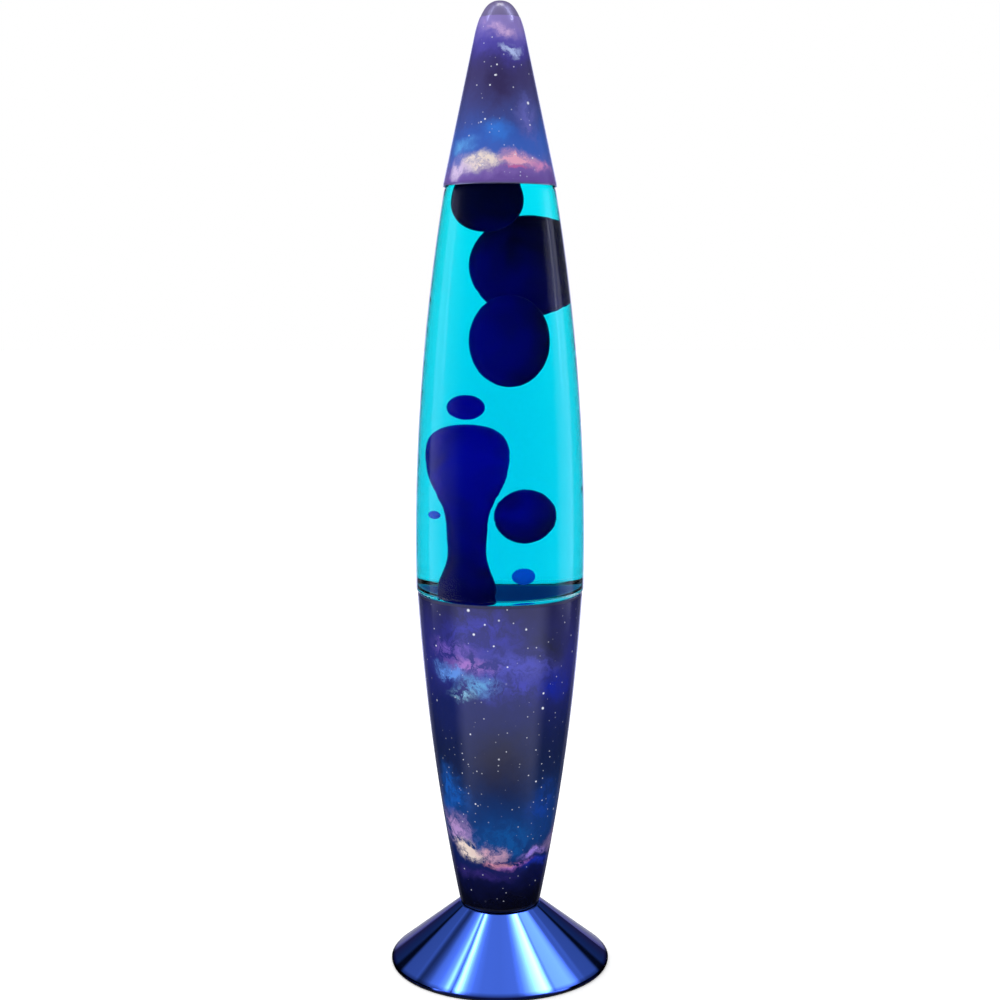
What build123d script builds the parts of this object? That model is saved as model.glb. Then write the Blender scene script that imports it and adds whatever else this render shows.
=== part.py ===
from build123d import *
from math import sqrt
import os

os.makedirs("parts", exist_ok=True)

# A rocket-shaped lava lamp.  Millimetres, +Z up, the origin on the table under the lamp's axis,
# +Y towards the back, where the cord bushing is.

# ---- Driving dimensions -------------------------------------------------------------------------

total_height = 432.0

# Foot: a spun cone with a rolled edge, on a rubber ring, closed by a steel plate
foot_r = 50.2
foot_sheet = 0.8
foot_top_r = 18.2
foot_top_z = 27.5
foot_edge_h = 1.2
foot_edge_round = 0.6
ring_h = 0.8
ring_w = 3.4
plate_h = 1.0
vent_ring_r = 34.0
vent_slot = (12.0, 4.0)
vent_slots = 12
drain_ring_r = 19.0
drain_r = 2.5
drains = 8

# Base: a spun shell whose wall is one long arc, widest above its own rim
base_top_z = 172.6
base_widest_r = 39.2
base_widest_z = 236.8
base_bulge_r = 1052.0
base_sheet = 0.8
film_t = 0.15
film_margin = 1.1

# Globe: a glass bottle whose wall is one long arc
globe_bottom_z = 120.0
globe_widest_r = 37.9
globe_widest_z = 192.7
globe_bulge_r = 948.0
globe_wall = 2.2
globe_floor = 3.0
globe_seat_gap = 0.35
globe_seat_z = 174.4
globe_seat_bend_r = 2.4
globe_heel_r = 9.0
shoulder_z = 350.5
neck_r = 12.4
neck_z = 368.0
neck_bore_r = 9.2
lip_r = 13.3
lip_z = 377.0
lip_top_z = 384.0

# Cap: a spun cone with a domed tip
cap_rim_z = 352.6
cap_rim_r = 25.18
cap_taper = 0.2169
cap_dome_z = 417.0
cap_tip_z = total_height + film_t
cap_sheet = 0.5
cap_film_top_z = 424.7

# What the globe holds
liquid_gap = 0.05
liquid_top_z = 366.0
pool_top_z = 152.0
blob_gap = 0.15
wax_wall_gap = 0.5
blob_seam_turn = 120.0
coil_r = 19.0
coil_wire_r = 0.8
coil_pitch = 2.3
coil_turns = 2.25

# Clamping rod through foot, base and bracket
rod_r = 4.8
rod_bore_r = 3.4
rod_hole_r = 5.1
rod_bottom_z = 19.0
rod_top_z = 34.6
nut_h = 3.5
nut_r = 7.6
washer_h = 0.8
bracket_t = 1.0
bracket_disc_r = 10.5
bracket_w = 8.0
washer_teeth = 16
washer_notch = (2.4, 0.8)

# Lamp holder and bulb with the intermediate screw base
thread_pitch = 2.822
holder_r = 12.5
holder_bottom_z = 36.0
holder_top_z = 60.0
holder_bore_r = 9.7
holder_floor = 3.0
rivet_r = 1.4
rivet_head_r = 2.4
rivet_head_h = 1.0
screw_z = 49.0
screw_head_r = 2.7
screw_head_h = 1.5
screw_slot = 0.8
hole_clearance = 0.05
drill_length = 40.0
shell_bore_r = 8.75
shell_wall = 0.4
shell_thread_r = 0.72
contact_size = (12.0, 4.0, 0.5)
contact_leaf_t = 0.4
bulb_bottom_z = 42.0
bulb_length = 62.0
bulb_r = 19.5
bulb_glass_t = 0.6
bulb_cap_r = 7.9
bulb_cap_top_z = 64.0
bulb_cap_wall = 0.4
bulb_thread_r = 0.6
bulb_contact_r = 3.0

# Cord bushing
bush_z = 7.8
bush_r = 4.5
bush_bore_r = 3.1
bush_collar_r = 4.95
bush_inner_y = 34.6
bush_outer_y = 49.6

# Free wax: centre and half-axes of each blob, from the top of the globe down
blobs = {
    "wax_blob_1": ((-5.2, -8.3, 345.5), (13.7, 8.4, 13.6)),
    "wax_blob_2": ((8.2, 10.5, 316.8), (17.2, 10.0, 22.1)),
    "wax_blob_3": ((3.5, -9.5, 285.1), (14.7, 9.7, 19.9)),
    "wax_blob_4": ((-11.3, 0.0, 255.7), (6.4, 6.0, 5.4)),
    "wax_blob_5": ((8.2, 2.0, 207.5), (10.2, 9.0, 11.9)),
    "wax_blob_6": ((-22.3, 0.0, 208.0), (2.3, 2.3, 1.8)),
    "wax_blob_7": ((7.8, 0.0, 181.0), (3.9, 4.0, 3.6)),
}


# ---- Outlines in the XZ plane: x is the radius, y is the height ----------------------------------

def arc_radius(z, widest_r, widest_z, bulge_r):
    """Radius at height z of a wall that is an arc of bulge_r, widest at widest_z."""
    return widest_r - bulge_r + sqrt(bulge_r**2 - (z - widest_z) ** 2)


def base_radius(z):
    """Outside of the printed film on the base."""
    return arc_radius(z, base_widest_r, base_widest_z, base_bulge_r)


def globe_radius(z):
    return arc_radius(z, globe_widest_r, globe_widest_z, globe_bulge_r)


def cap_radius(z):
    """Outside of the printed film on the cap's cone."""
    return cap_rim_r - cap_taper * (z - cap_rim_z)


def base_arc(inset, low_z, high_z):
    middle_z = (low_z + high_z) / 2
    heights = (low_z, middle_z, high_z)
    return ThreePointArc(*[(base_radius(z) - inset, z) for z in heights])


def globe_outline(inset, floor_z, neck_x):
    """Half of the globe's section, drawn inset from its outer wall, closed on the axis."""
    seat_inset = film_t + base_sheet + globe_seat_gap + inset
    wall_low_z = floor_z + globe_heel_r
    heel = base_radius(wall_low_z) - seat_inset
    Line((0, floor_z), (heel - globe_heel_r, floor_z))
    RadiusArc((heel - globe_heel_r, floor_z), (heel, wall_low_z), -globe_heel_r)
    base_arc(seat_inset, wall_low_z, base_top_z)
    seat_end = (globe_radius(globe_seat_z) - inset, globe_seat_z)
    seat_start = (base_radius(base_top_z) - seat_inset, base_top_z)
    RadiusArc(seat_end, seat_start, globe_seat_bend_r)
    middle_z = (globe_seat_z + shoulder_z) / 2
    wall = [(globe_radius(z) - inset, z) for z in (globe_seat_z, middle_z, shoulder_z)]
    ThreePointArc(*wall)
    Spline(wall[2], (neck_x, neck_z - inset), tangents=((-0.2, 1), (0, 1)))
    Line((neck_x, neck_z - inset), (neck_x, lip_z))


def cap_outline(inset):
    """Half of the cap's outside, drawn inset, from rim to tip."""
    dome = (cap_radius(cap_dome_z) - inset, cap_dome_z)
    Line((cap_radius(cap_rim_z) - inset, cap_rim_z), dome)
    Spline(
        dome,
        (7.2 - 0.7 * inset, 427.9 - 0.7 * inset),
        (0, cap_tip_z - inset),
        tangents=((-cap_taper, 1), (-1, 0)),
    )


def hexagon_nut(low_z):
    """A plain hexagon nut on the clamping rod."""
    with BuildPart() as nut:
        with BuildSketch(Plane.XY.offset(low_z)):
            RegularPolygon(nut_r, 6)
            Circle(rod_r, mode=Mode.SUBTRACT)
        extrude(amount=nut_h)
        outer_edges = nut.edges().filter_by(GeomType.LINE).filter_by(Axis.Z, reverse=True)
        chamfer(outer_edges, 0.4)
    return nut


# ---- Foot ----------------------------------------------------------------------------------------

hem_z = ring_h
hem_r = foot_r - ring_w - foot_sheet
edge_r = foot_r - 0.5
edge_z = hem_z + foot_edge_h
cone_slope = (foot_top_z - edge_z) / (edge_r - foot_top_r)
cone_upright_t = foot_sheet * sqrt(1 + cone_slope**2)
fold_z = hem_z + foot_sheet
fold_r = edge_r - (fold_z + cone_upright_t - edge_z) / cone_slope
inner_top_r = foot_top_r + (foot_sheet - cone_upright_t) / cone_slope
with BuildPart() as foot_cone:
    with BuildSketch(Plane.XZ):
        with BuildLine():
            FilletPolyline(
                (rod_hole_r, foot_top_z),
                (foot_top_r, foot_top_z),
                (edge_r, edge_z),
                (foot_r, edge_z - foot_edge_round),
                (foot_r, hem_z),
                (hem_r, hem_z),
                (hem_r, fold_z),
                (fold_r, fold_z),
                (inner_top_r, foot_top_z - foot_sheet),
                (rod_hole_r, foot_top_z - foot_sheet),
                close=True,
                radius=(0.05, 1.5, 0.3, 0.3, 0.3, 0.3, 0.3, 0.1, 0.7, 0.05),
            )
        make_face()
    revolve(axis=Axis.Z)
    with BuildSketch(Plane.XZ.offset(-bush_inner_y)):
        with Locations((0, bush_z)):
            Circle(bush_r)
    extrude(amount=-(foot_r - bush_inner_y), mode=Mode.SUBTRACT)

with BuildPart() as foot_rubber_ring:
    with BuildSketch():
        Circle(foot_r - 0.3)
        Circle(foot_r - 0.3 - ring_w, mode=Mode.SUBTRACT)
    extrude(amount=ring_h)
    fillet(foot_rubber_ring.edges().group_by(Axis.Z)[0], 0.25)

plate_z = fold_z
plate_r = hem_r + 1.2
with BuildPart() as base_plate:
    with BuildSketch(Plane.XY.offset(plate_z)):
        Circle(plate_r)
        with PolarLocations(vent_ring_r, vent_slots):
            SlotOverall(*vent_slot, mode=Mode.SUBTRACT)
        with PolarLocations(drain_ring_r, drains):
            Circle(drain_r, mode=Mode.SUBTRACT)
    extrude(amount=plate_h)

with BuildPart() as cord_bushing:
    with BuildSketch(Plane.XZ.offset(-bush_inner_y)):
        with Locations((0, bush_z)):
            Circle(bush_r)
    extrude(amount=-(bush_outer_y - bush_inner_y))
    with BuildSketch(Plane.XZ.offset(-bush_inner_y)):
        with Locations((0, bush_z)):
            Circle(bush_collar_r)
    extrude(amount=1.0)
    fillet(cord_bushing.edges().group_by(Axis.Y)[-1], 1.0)
    with BuildSketch(Plane.XZ.offset(-bush_inner_y + 1.0)):
        with Locations((0, bush_z)):
            Circle(bush_bore_r)
    extrude(amount=-(bush_outer_y - bush_inner_y + 1.0), mode=Mode.SUBTRACT)

# ---- Base ----------------------------------------------------------------------------------------

with BuildPart() as base_shell:
    with BuildSketch(Plane.XZ):
        with BuildLine() as base_section:
            corner = (base_radius(foot_top_z) - film_t, foot_top_z)
            Line((rod_hole_r, foot_top_z), corner)
            base_arc(film_t, foot_top_z, base_top_z)
            fillet(base_section.vertices().group_by(Axis.Y)[0].sort_by(Axis.X)[-1], 1.6)
            offset(amount=base_sheet, side=Side.LEFT)
        make_face()
    revolve(axis=Axis.Z)
    fillet(base_shell.edges().group_by(Axis.Z)[-1], 0.25)

with BuildPart() as base_wrap:
    with BuildSketch(Plane.XZ):
        with BuildLine():
            low_z = foot_top_z + film_margin + 1.0
            high_z = base_top_z - film_margin
            base_arc(0, low_z, high_z)
            base_arc(film_t, low_z, high_z)
            for z in (low_z, high_z):
                Line((base_radius(z), z), (base_radius(z) - film_t, z))
        make_face()
    revolve(axis=Axis.Z)

# ---- Clamping rod, nuts and holder bracket -------------------------------------------------------

bracket_z = foot_top_z + base_sheet
ear_x = holder_r + 0.1
ear_top_z = 47.0
rivet_z = 42.5
with BuildPart() as holder_bracket:
    with BuildSketch(Plane.XY.offset(bracket_z)):
        Circle(bracket_disc_r)
        Rectangle(2 * (ear_x + bracket_t), bracket_w)
        Circle(rod_hole_r, mode=Mode.SUBTRACT)
    extrude(amount=bracket_t)
    with BuildSketch(Plane.XY.offset(bracket_z)):
        with Locations((ear_x + bracket_t / 2, 0), (-ear_x - bracket_t / 2, 0)):
            Rectangle(bracket_t, bracket_w)
    extrude(amount=ear_top_z - bracket_z)
    with Locations((0, 0, rivet_z)):
        Cylinder(rivet_r + hole_clearance, drill_length, rotation=(0, 90, 0), mode=Mode.SUBTRACT)
    fillet(holder_bracket.edges().filter_by(Axis.X).group_by(Axis.Z)[-1], 2.0)

with BuildPart() as threaded_rod:
    with BuildSketch(Plane.XY.offset(rod_bottom_z)):
        Circle(rod_r)
        Circle(rod_bore_r, mode=Mode.SUBTRACT)
    extrude(amount=rod_top_z - rod_bottom_z)
    chamfer(threaded_rod.edges().group_by(Axis.Z)[-1].sort_by(SortBy.RADIUS)[-1], 0.5)

washer_z = bracket_z + bracket_t
with BuildPart() as lock_washer:
    with BuildSketch(Plane.XY.offset(washer_z)):
        Circle(nut_r - 0.4)
        Circle(rod_r + 0.1, mode=Mode.SUBTRACT)
        with PolarLocations(nut_r, washer_teeth):
            Rectangle(*washer_notch, mode=Mode.SUBTRACT)
    extrude(amount=washer_h)

upper_nut = hexagon_nut(washer_z + washer_h)
lower_nut = hexagon_nut(foot_top_z - foot_sheet - nut_h)

# ---- Lamp holder ---------------------------------------------------------------------------------

with BuildPart() as holder_body:
    with BuildSketch(Plane.XY.offset(holder_bottom_z)):
        Circle(holder_r)
    extrude(amount=holder_top_z - holder_bottom_z)
    fillet(holder_body.edges(), 1.0)
    with BuildSketch(Plane.XY.offset(holder_bottom_z + holder_floor)):
        Circle(holder_bore_r)
    extrude(amount=holder_top_z - holder_bottom_z, mode=Mode.SUBTRACT)
    with Locations((0, 0, rivet_z)):
        Cylinder(rivet_r + hole_clearance, drill_length, rotation=(0, 90, 0), mode=Mode.SUBTRACT)
    with Locations((0, 0, screw_z)):
        Cylinder(rivet_r + hole_clearance, drill_length, rotation=(90, 0, 0), mode=Mode.SUBTRACT)

with BuildPart() as holder_rivets:
    for side in (-1, 1):
        with Locations((side * (ear_x + bracket_t - 1.2), 0, rivet_z)):
            Cylinder(rivet_r, 2.4, rotation=(0, 90, 0))
        with Locations((side * (ear_x + bracket_t + rivet_head_h / 2), 0, rivet_z)):
            Cylinder(rivet_head_r, rivet_head_h, rotation=(0, 90, 0))

with BuildPart() as terminal_screws:
    for side in (-1, 1):
        with Locations((0, side * (holder_r - 0.9), screw_z)):
            Cylinder(rivet_r, 2.0, rotation=(90, 0, 0))
        with Locations((0, side * (holder_r + 0.1 + screw_head_h / 2), screw_z)):
            Cylinder(screw_head_r, screw_head_h, rotation=(90, 0, 0))
        with Locations((0, side * (holder_r + screw_head_h), screw_z)):
            Box(2 * screw_head_r + 0.2, screw_slot, screw_slot, mode=Mode.SUBTRACT)

shell_low_z = holder_bottom_z + holder_floor + 2.5
shell_high_z = holder_top_z - 1.0
with BuildPart() as holder_screw_shell:
    with BuildSketch(Plane.XY.offset(shell_low_z)):
        Circle(shell_bore_r + shell_wall)
    extrude(amount=shell_high_z - shell_low_z)
    helix_low_z = shell_low_z + 1.6
    helix_h = shell_high_z - shell_low_z - 3.2
    with BuildLine() as shell_helix:
        Helix(thread_pitch, helix_h, shell_bore_r + 0.1, center=(0, 0, helix_low_z))
    helix_start = Plane(shell_helix.line @ 0, z_dir=shell_helix.line % 0)
    with BuildSketch(helix_start):
        Circle(shell_thread_r)
    sweep(path=shell_helix.line, is_frenet=True)
    with BuildSketch(Plane.XY.offset(shell_low_z)):
        Circle(shell_bore_r)
    extrude(amount=shell_high_z - shell_low_z, mode=Mode.SUBTRACT)

with BuildPart() as holder_contact:
    contact_z = holder_bottom_z + holder_floor
    with BuildSketch(Plane.XY.offset(contact_z)):
        Rectangle(*contact_size[:2])
    extrude(amount=contact_size[2])
    with BuildSketch(Plane.XZ.offset(-contact_size[1] / 2)):
        with BuildLine():
            Polyline((5.5, contact_z + 0.45), (-2.5, contact_z + 2.1), (2.5, contact_z + 2.3))
            offset(amount=contact_leaf_t, side=Side.LEFT)
        make_face()
    extrude(amount=contact_size[1])

# ---- Bulb ----------------------------------------------------------------------------------------

insulator_z = bulb_bottom_z + 1.4
cap_low_z = bulb_bottom_z + 4.6
bulb_top_z = bulb_bottom_z + bulb_length

with BuildPart() as bulb_contact:
    with BuildSketch(Plane.XY.offset(bulb_bottom_z)):
        Circle(bulb_contact_r)
    extrude(amount=insulator_z - bulb_bottom_z)
    fillet(bulb_contact.edges().group_by(Axis.Z)[0], 1.0)

with BuildPart() as bulb_insulator:
    with BuildSketch(Plane.XY.offset(insulator_z)):
        Circle(bulb_contact_r + 0.4)
    with BuildSketch(Plane.XY.offset(cap_low_z)):
        Circle(bulb_cap_r - bulb_cap_wall)
    loft()

with BuildPart() as bulb_screw_cap:
    with BuildSketch(Plane.XY.offset(cap_low_z)):
        Circle(bulb_cap_r)
    extrude(amount=bulb_cap_top_z - cap_low_z)
    with BuildLine() as cap_helix:
        Helix(thread_pitch, 11.3, bulb_cap_r - 0.15, center=(0, 0, cap_low_z + 1.4))
    with BuildSketch(Plane(cap_helix.line @ 0, z_dir=cap_helix.line % 0)):
        Circle(bulb_thread_r)
    sweep(path=cap_helix.line, is_frenet=True)
    with BuildSketch(Plane.XY.offset(cap_low_z)):
        Circle(bulb_cap_r - bulb_cap_wall)
    extrude(amount=bulb_cap_top_z - cap_low_z, mode=Mode.SUBTRACT)

bulb_neck_z = 58.0
bulb_widest_z = bulb_top_z - 11.0


def bulb_outline(inset):
    """Half of the reflector bulb's glass: neck, flare, widest band and front dome."""
    neck = (bulb_cap_r - 0.6 - inset, bulb_cap_top_z)
    flare_end = (bulb_r - inset, bulb_widest_z)
    crown = (bulb_r - 2.5 - inset, bulb_top_z - 4.5 - 0.3 * inset)
    Line((neck[0], bulb_neck_z), neck)
    Spline(neck, (13.6 - inset, 77.5), flare_end, tangents=((0, 1), (0, 1)))
    TangentArc(flare_end, crown, tangent=(0, 1))
    TangentArc((0, bulb_top_z - inset), crown, tangent=(1, 0))


with BuildPart() as bulb_envelope:
    with BuildSketch(Plane.XZ):
        for inset, mode in ((0, Mode.ADD), (bulb_glass_t, Mode.SUBTRACT)):
            with BuildLine():
                bulb_outline(inset)
                Line((0, bulb_top_z - inset), (0, bulb_neck_z))
                Line((0, bulb_neck_z), (bulb_cap_r - 0.6 - inset, bulb_neck_z))
            make_face(mode=mode)
    revolve(axis=Axis.Z)

stem_top_z = 76.0
with BuildPart() as bulb_stem:
    with BuildSketch(Plane.XZ):
        with BuildLine():
            Line((0, bulb_neck_z), (6.5, bulb_neck_z))
            Spline((6.5, bulb_neck_z), (3.0, 64.0), (1.8, stem_top_z - 3), tangents=((0, 1), (0, 1)))
            Line((1.8, stem_top_z - 3), (1.8, stem_top_z))
            Line((1.8, stem_top_z), (0, stem_top_z))
            Line((0, stem_top_z), (0, bulb_neck_z))
        make_face()
    revolve(axis=Axis.Z)

filament_r = 8.0
filament_z = 86.4
with BuildPart() as filament_supports:
    for side in (-1, 1):
        with BuildLine(mode=Mode.PRIVATE) as support:
            Line((side * 1.0, 0, stem_top_z + 0.1), (side * filament_r, 0, filament_z - 0.4))
        with BuildSketch(Plane(support.line @ 0, z_dir=support.line % 0)):
            Circle(0.3)
        sweep(path=support.line)

with BuildPart() as bulb_filament:
    with BuildLine(mode=Mode.PRIVATE) as filament_path:
        ThreePointArc((-filament_r, 0, filament_z), (0, 6.5, filament_z), (filament_r, 0, filament_z))
    with BuildSketch(Plane(filament_path.line @ 0, z_dir=filament_path.line % 0)):
        Circle(0.25)
    sweep(path=filament_path.line)

# ---- Globe ---------------------------------------------------------------------------------------

with BuildPart() as globe_glass:
    with BuildSketch(Plane.XZ):
        with BuildLine():
            globe_outline(0, globe_bottom_z, neck_r)
            Line((neck_r, lip_z), (lip_r, lip_z + 1.2))
            Line((lip_r, lip_z + 1.2), (lip_r, lip_top_z - 1.6))
            RadiusArc((lip_r - 1.6, lip_top_z), (lip_r, lip_top_z - 1.6), 1.6)
            Line((lip_r - 1.6, lip_top_z), (0, lip_top_z))
            Line((0, lip_top_z), (0, globe_bottom_z))
        make_face()
        with BuildLine():
            floor_z = globe_bottom_z + globe_floor
            globe_outline(globe_wall, floor_z, neck_bore_r)
            Polyline((neck_bore_r, lip_z), (neck_bore_r, lip_top_z + 1), (0, lip_top_z + 1), (0, floor_z))
        make_face(mode=Mode.SUBTRACT)
    revolve(axis=Axis.Z)


def globe_room(gap):
    """The room in the globe up to the liquid's surface, kept off the glass by a gap."""
    with BuildPart() as room:
        with BuildSketch(Plane.XZ):
            with BuildLine():
                floor_z = globe_bottom_z + globe_floor + gap
                neck_x = neck_bore_r - gap
                globe_outline(globe_wall + gap, floor_z, neck_x)
                Polyline((neck_x, lip_z), (0, lip_z), (0, floor_z))
            make_face()
            with Locations((0, liquid_top_z)):
                Rectangle(2 * lip_z, lip_z, align=(Align.CENTER, Align.MIN), mode=Mode.SUBTRACT)
        revolve(axis=Axis.Z)
    return room.part


globe_filling = globe_room(liquid_gap)
wax_room = globe_room(wax_wall_gap)
cavity_room = globe_room(wax_wall_gap - blob_gap)

coil_low_z = globe_bottom_z + globe_floor + coil_wire_r + 0.1
coil_h = coil_turns * coil_pitch
with BuildPart() as heat_coil:
    with BuildLine(mode=Mode.PRIVATE) as coil_path:
        Helix(coil_pitch, coil_h, coil_r, center=(0, 0, coil_low_z))
    with BuildSketch(Plane(coil_path.line @ 0, z_dir=coil_path.line % 0)):
        Circle(coil_wire_r)
    sweep(path=coil_path.line, is_frenet=True)

# The wax that hasn't broken off: a pool on the globe's floor with a mushroom that rises from it
column_x = -11.0
column_top_z = 248.2
column_foot_r = 17.0
column_half_widths = ((14.1, 231.5), (11.7, 220.5), (7.5, 209.0), (6.7, 199.0), (7.1, 186.0), (9.0, 172.0))
with BuildPart() as wax_mass:
    with BuildSketch(Plane.XY.offset(globe_bottom_z)):
        Circle(base_widest_r)
    extrude(amount=pool_top_z - globe_bottom_z)
    add(globe_filling, mode=Mode.INTERSECT)
    with BuildSketch(Plane.XY.offset(globe_bottom_z)):
        Circle(coil_r + coil_wire_r + 0.3)
        Circle(coil_r - coil_wire_r - 0.3, mode=Mode.SUBTRACT)
    extrude(amount=globe_floor + 2 * coil_wire_r + coil_h + 0.5, mode=Mode.SUBTRACT)
    with BuildSketch(Plane.XZ):
        with BuildLine():
            head_top = (column_x, column_top_z)
            flare_end = (column_x + column_foot_r, pool_top_z)
            core_end = (column_x, pool_top_z - 12.0)
            sides = [(column_x + r, z) for r, z in column_half_widths]
            Spline(head_top, *sides, flare_end, tangents=((1, 0), (1, -0.6)))
            Polyline(flare_end, (flare_end[0], core_end[1]), core_end, head_top)
        make_face()
    revolve(axis=Axis((column_x, 0, 0), (0, 0, 1)))


def blob(centre, half_axes, room):
    """A rounded lump of wax, flattened where it would leave the room that it has."""
    ball = Solid.make_sphere(1.0).rotate(Axis.Z, blob_seam_turn)
    lump = scale(ball, by=half_axes, mode=Mode.PRIVATE)
    with BuildPart() as wax:
        add(Pos(*centre) * lump)
        add(room, mode=Mode.INTERSECT)
    return wax


wax_blobs = {name: blob(*size, wax_room) for name, size in blobs.items()}

with BuildPart() as liquid:
    add(globe_filling)
    with BuildSketch(Plane.XY.offset(globe_bottom_z)):
        Circle(base_widest_r)
    extrude(amount=pool_top_z - 0.01 - globe_bottom_z, mode=Mode.SUBTRACT)
    add(wax_mass.part, mode=Mode.SUBTRACT)
    for centre, half_axes in blobs.values():
        cavity = tuple(half + blob_gap for half in half_axes)
        add(blob(centre, cavity, cavity_room).part, mode=Mode.SUBTRACT)

# Crown cap with its sealing disc on the globe's lip
liner_t = 0.7
crown_t = 0.3
crown_z = lip_top_z + liner_t
crown_teeth = 21
crown_skirt_h = 5.6
crown_flute_r = 0.8
with BuildPart() as crown_liner:
    with BuildSketch(Plane.XY.offset(lip_top_z)):
        Circle(lip_r - 0.5)
    extrude(amount=liner_t)

with BuildPart() as crown_cap:
    with BuildSketch(Plane.XZ):
        with BuildLine():
            Polyline((0, crown_z), (lip_r - 0.4, crown_z))
            ThreePointArc((lip_r - 0.4, crown_z), (lip_r + 0.5, crown_z - 0.7), (lip_r + 0.8, crown_z - 1.8))
            Line((lip_r + 0.8, crown_z - 1.8), (lip_r + 2.4, crown_z - crown_skirt_h))
            offset(amount=crown_t, side=Side.LEFT)
        make_face()
    revolve(axis=Axis.Z)
    with BuildSketch(Plane.XY.offset(crown_z - 6.5)):
        with PolarLocations(lip_r + 3.0, crown_teeth):
            Circle(crown_flute_r)
    extrude(amount=3.2, mode=Mode.SUBTRACT)

# ---- Cap -----------------------------------------------------------------------------------------

with BuildPart() as cap_shell:
    with BuildSketch(Plane.XZ):
        for inset, mode in ((film_t, Mode.ADD), (film_t + cap_sheet, Mode.SUBTRACT)):
            with BuildLine():
                cap_outline(inset)
                rim_r = cap_radius(cap_rim_z) - inset
                Polyline((0, cap_tip_z - inset), (0, cap_rim_z), (rim_r, cap_rim_z))
            make_face(mode=mode)
    revolve(axis=Axis.Z)
    fillet(cap_shell.edges().group_by(Axis.Z)[0], 0.15)

with BuildPart() as cap_wrap:
    with BuildSketch(Plane.XZ):
        for inset, mode in ((0, Mode.ADD), (film_t, Mode.SUBTRACT)):
            with BuildLine():
                cap_outline(inset)
                rim_r = cap_radius(cap_rim_z) - inset
                Polyline((0, cap_tip_z - inset), (0, cap_rim_z), (rim_r, cap_rim_z))
            make_face(mode=mode)
        with Locations((0, cap_film_top_z)):
            Rectangle(60, 30, align=(Align.CENTER, Align.MIN), mode=Mode.SUBTRACT)
        with Locations((0, cap_rim_z + film_margin)):
            Rectangle(60, 30, align=(Align.CENTER, Align.MAX), mode=Mode.SUBTRACT)
    revolve(axis=Axis.Z)

# ---- Labels and files ----------------------------------------------------------------------------

pieces = {
    "foot_cone": foot_cone,
    "foot_rubber_ring": foot_rubber_ring,
    "base_plate": base_plate,
    "cord_bushing": cord_bushing,
    "base_shell": base_shell,
    "base_wrap": base_wrap,
    "holder_bracket": holder_bracket,
    "threaded_rod": threaded_rod,
    "lock_washer": lock_washer,
    "upper_nut": upper_nut,
    "lower_nut": lower_nut,
    "holder_body": holder_body,
    "holder_rivets": holder_rivets,
    "terminal_screws": terminal_screws,
    "holder_screw_shell": holder_screw_shell,
    "holder_contact": holder_contact,
    "bulb_contact": bulb_contact,
    "bulb_insulator": bulb_insulator,
    "bulb_screw_cap": bulb_screw_cap,
    "bulb_envelope": bulb_envelope,
    "bulb_stem": bulb_stem,
    "filament_supports": filament_supports,
    "bulb_filament": bulb_filament,
    "globe_glass": globe_glass,
    "heat_coil": heat_coil,
    "wax_mass": wax_mass,
    "liquid": liquid,
    "crown_liner": crown_liner,
    "crown_cap": crown_cap,
    "cap_shell": cap_shell,
    "cap_wrap": cap_wrap,
    **wax_blobs,
}
for name, piece in pieces.items():
    piece.part.label = name
    export_step(piece.part, f"parts/{name}.step")
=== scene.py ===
"""The lava lamp's looks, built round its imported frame.  Metres, +Z up, the camera on the -Y side."""
from math import cos, pi, radians, sin, sqrt

import bmesh
import bpy
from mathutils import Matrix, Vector


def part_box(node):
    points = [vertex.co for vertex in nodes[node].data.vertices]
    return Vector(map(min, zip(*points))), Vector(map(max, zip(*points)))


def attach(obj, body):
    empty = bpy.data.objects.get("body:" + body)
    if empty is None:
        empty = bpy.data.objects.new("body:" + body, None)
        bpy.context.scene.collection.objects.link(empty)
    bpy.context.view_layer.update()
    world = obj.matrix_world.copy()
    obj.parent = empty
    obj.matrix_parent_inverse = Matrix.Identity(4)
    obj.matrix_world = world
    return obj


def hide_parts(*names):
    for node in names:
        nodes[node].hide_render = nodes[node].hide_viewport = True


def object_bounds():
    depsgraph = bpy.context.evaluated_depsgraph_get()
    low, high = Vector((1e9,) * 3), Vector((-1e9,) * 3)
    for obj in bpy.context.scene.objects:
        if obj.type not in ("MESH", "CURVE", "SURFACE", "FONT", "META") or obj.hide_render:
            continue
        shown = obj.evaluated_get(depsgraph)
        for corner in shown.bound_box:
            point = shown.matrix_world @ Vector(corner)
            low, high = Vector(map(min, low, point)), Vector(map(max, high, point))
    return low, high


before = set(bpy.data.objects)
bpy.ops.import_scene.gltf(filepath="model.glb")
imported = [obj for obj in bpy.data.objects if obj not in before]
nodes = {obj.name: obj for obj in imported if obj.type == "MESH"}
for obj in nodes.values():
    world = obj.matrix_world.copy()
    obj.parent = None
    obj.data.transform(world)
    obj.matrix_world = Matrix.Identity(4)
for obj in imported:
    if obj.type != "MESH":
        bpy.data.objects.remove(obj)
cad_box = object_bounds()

MM = 0.001

# The lamp's walls in mm.  Base and globe follow long arcs: widest radius, its height, the arc's radius
BASE_ARC = (39.2, 236.8, 1052.0)
GLOBE_ARC = (37.9, 192.7, 948.0)
CAP_RIM_R, CAP_RIM_Z, CAP_TAPER = 25.18, 352.6, 0.2169
BASE_RIM_Z = 172.6


def arc_radius(arc, z):
    """Radius in mm, at a height, of a wall that follows a long arc."""
    widest_r, widest_z, bulge_r = arc
    return widest_r - bulge_r + sqrt(bulge_r**2 - (z - widest_z) ** 2)


def base_radius(z):
    return arc_radius(BASE_ARC, z)


def cap_radius(z):
    return CAP_RIM_R - CAP_TAPER * (z - CAP_RIM_Z)


# ---- Small tools ---------------------------------------------------------------------------------

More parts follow.
